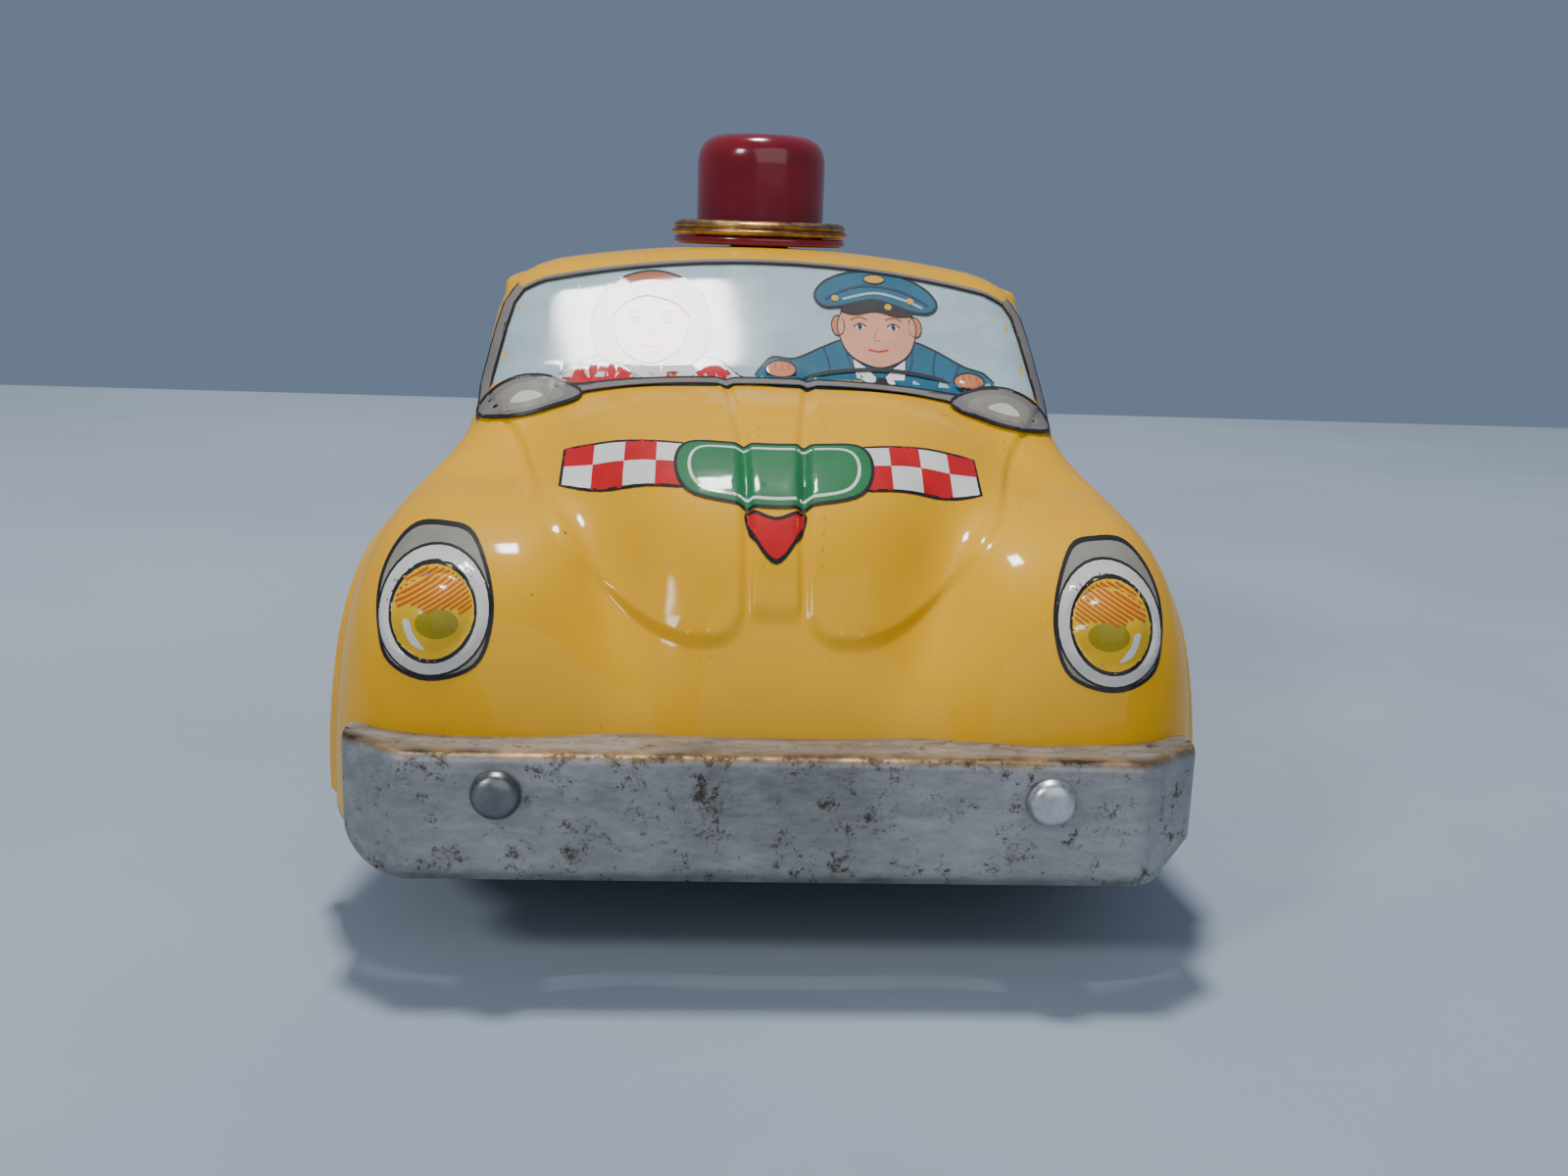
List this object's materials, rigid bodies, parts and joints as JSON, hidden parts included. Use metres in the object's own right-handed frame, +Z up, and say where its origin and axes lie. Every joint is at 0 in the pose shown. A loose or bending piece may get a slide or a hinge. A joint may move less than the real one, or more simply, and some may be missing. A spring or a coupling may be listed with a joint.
{
  "type": "friction tin car",
  "caption": "Pressed tin saloon toy on a flat base plate, with steel bumpers, a red roof beacon and a friction motor geared from the rear axle up to a pair of flywheels.",
  "frame": {"origin": "on the ground, under the middle of the car's bounding box", "axes": "+Z up, -Y towards the nose, +X to the right of someone who looks at the front"},
  "size_m": [0.0672, 0.1544, 0.0617],
  "materials": {
    "body_litho": "printed and varnished tin plate, glossy",
    "base_tin": "dull tin plate",
    "bumper_steel": "worn grey plated steel with brown specks",
    "beacon_plastic": "clear-coloured dark red plastic",
    "collar_brass": "tarnished",
    "tyre_rubber": "matt",
    "wheel_tin": "bright pressed tin",
    "bare_steel": "plain steel",
    "gear_brass": "stamped brass",
    "flywheel_metal": "dull grey cast metal"
  },
  "bodies": {
    "car": {"body_shell": "body_litho", "base_plate": "base_tin", "front_bumper": "bumper_steel", "rear_bumper": "bumper_steel", "front_bumper_rivet_left": "bare_steel", "rear_bumper_rivet_left": "bare_steel", "front_bumper_rivet_right": "bare_steel", "rear_bumper_rivet_right": "bare_steel", "beacon_dome": "beacon_plastic", "beacon_collar": "collar_brass", "beacon_nut": "bare_steel", "front_axle_bracket": "bare_steel", "bracket_rivet_1": "bare_steel", "bracket_rivet_2": "bare_steel", "motor_side_left": "bare_steel", "motor_side_right": "bare_steel", "motor_spacer_1": "bare_steel", "motor_spacer_2": "bare_steel", "motor_spacer_3": "bare_steel", "motor_rivet_1": "bare_steel", "motor_rivet_2": "bare_steel", "motor_rivet_3": "bare_steel", "motor_rivet_4": "bare_steel"},
    "front_wheels": {"front_axle": "bare_steel", "front_tyre_left": "tyre_rubber", "front_wheel_disc_left": "wheel_tin", "front_tyre_right": "tyre_rubber", "front_wheel_disc_right": "wheel_tin"},
    "rear_wheels": {"rear_axle": "bare_steel", "rear_tyre_left": "tyre_rubber", "rear_wheel_disc_left": "wheel_tin", "rear_tyre_right": "tyre_rubber", "rear_wheel_disc_right": "wheel_tin", "axle_gear": "gear_brass"},
    "idler": {"idler_pinion": "gear_brass", "idler_gear": "gear_brass", "idler_shaft": "bare_steel"},
    "flywheels": {"flywheel_pinion": "gear_brass", "flywheel_shaft": "bare_steel", "flywheel_left": "flywheel_metal", "flywheel_right": "flywheel_metal"}
  },
  "joints": [
    {"name": "front_axle_spin", "type": "hinge", "parent": "car", "child": "front_wheels", "pos_m": [0, -0.0465, 0.012], "axis": [1, 0, 0], "continuous": true},
    {"name": "rear_axle_spin", "type": "hinge", "parent": "car", "child": "rear_wheels", "pos_m": [0, 0.043, 0.012], "axis": [1, 0, 0], "continuous": true},
    {"name": "idler_spin", "type": "hinge", "parent": "car", "child": "idler", "pos_m": [0, 0.03521, 0.0165], "axis": [1, 0, 0], "continuous": true},
    {"name": "flywheel_spin", "type": "hinge", "parent": "car", "child": "flywheels", "pos_m": [0, 0.02742, 0.02195], "axis": [1, 0, 0], "continuous": true}
  ],
  "couplings": [
    {"joint": "idler_spin", "follows": "rear_axle_spin", "ratio": -2.6},
    {"joint": "flywheel_spin", "follows": "rear_axle_spin", "ratio": 7.28}
  ]
}
